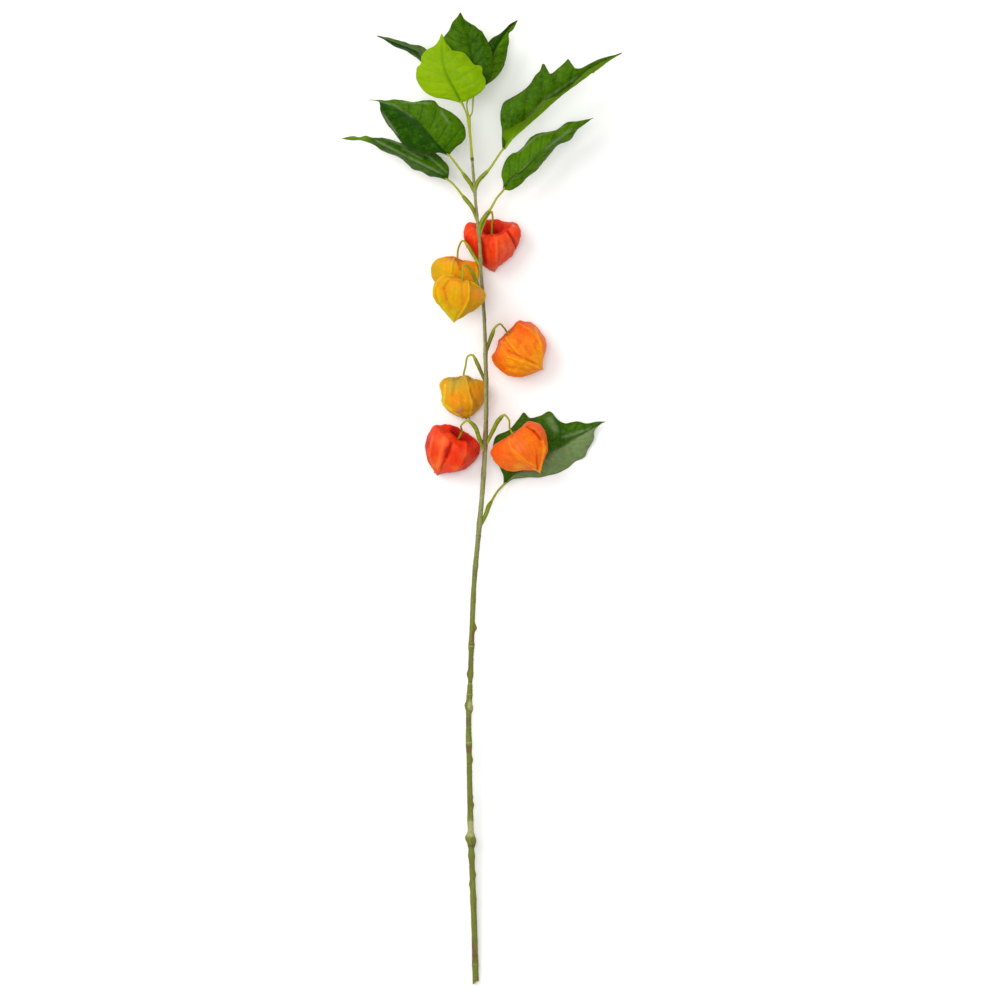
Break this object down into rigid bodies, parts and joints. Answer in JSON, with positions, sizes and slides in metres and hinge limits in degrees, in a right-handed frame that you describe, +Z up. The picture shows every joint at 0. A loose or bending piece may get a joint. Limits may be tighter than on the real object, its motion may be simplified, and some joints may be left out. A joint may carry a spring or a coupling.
{
  "type": "chinese lantern stem",
  "caption": "Cut stem of Chinese lantern lying down: a woody stem with pointed green leaves and papery red, orange and yellow lanterns.",
  "frame": {"origin": "on the surface the stem lies on, under the middle of its box", "axes": "+Y along the stem from the cut end to the leafy end, +Z up from the surface, +X to the right of someone who looks down with the leafy end at the top"},
  "size_m": [0.2524, 0.8754, 0.0811],
  "materials": {
    "woody_stem": "matte",
    "green_stalk": "satin",
    "dark_leaf": "satin",
    "lime_leaf": "satin",
    "red_husk": "satin",
    "orange_husk": "satin",
    "yellow_husk": "satin"
  },
  "bodies": {
    "root": {"main_stem": "woody_stem", "shoot_tip": "green_stalk", "top_lime_leaf": "lime_leaf", "top_lime_leaf_stalk": "green_stalk", "top_middle_leaf": "dark_leaf", "top_middle_leaf_stalk": "green_stalk", "top_right_leaf": "dark_leaf", "top_right_leaf_stalk": "green_stalk", "top_left_leaf": "dark_leaf", "top_left_leaf_stalk": "green_stalk", "upper_left_leaf": "dark_leaf", "upper_left_leaf_stalk": "green_stalk", "lower_left_leaf": "dark_leaf", "lower_left_leaf_stalk": "green_stalk", "toothed_right_leaf": "dark_leaf", "toothed_right_leaf_stalk": "green_stalk", "lower_right_leaf": "dark_leaf", "lower_right_leaf_stalk": "green_stalk", "low_leaf": "dark_leaf", "low_leaf_stalk": "green_stalk", "top_red_lantern": "red_husk", "top_red_lantern_stalk": "green_stalk", "rear_yellow_lantern": "yellow_husk", "rear_yellow_lantern_stalk": "green_stalk", "front_yellow_lantern": "yellow_husk", "front_yellow_lantern_stalk": "green_stalk", "right_orange_lantern": "orange_husk", "right_orange_lantern_stalk": "green_stalk", "small_amber_lantern": "yellow_husk", "small_amber_lantern_stalk": "green_stalk", "low_red_lantern": "red_husk", "low_red_lantern_stalk": "green_stalk", "low_orange_lantern": "orange_husk", "low_orange_lantern_stalk": "green_stalk"}
  },
  "joints": []
}
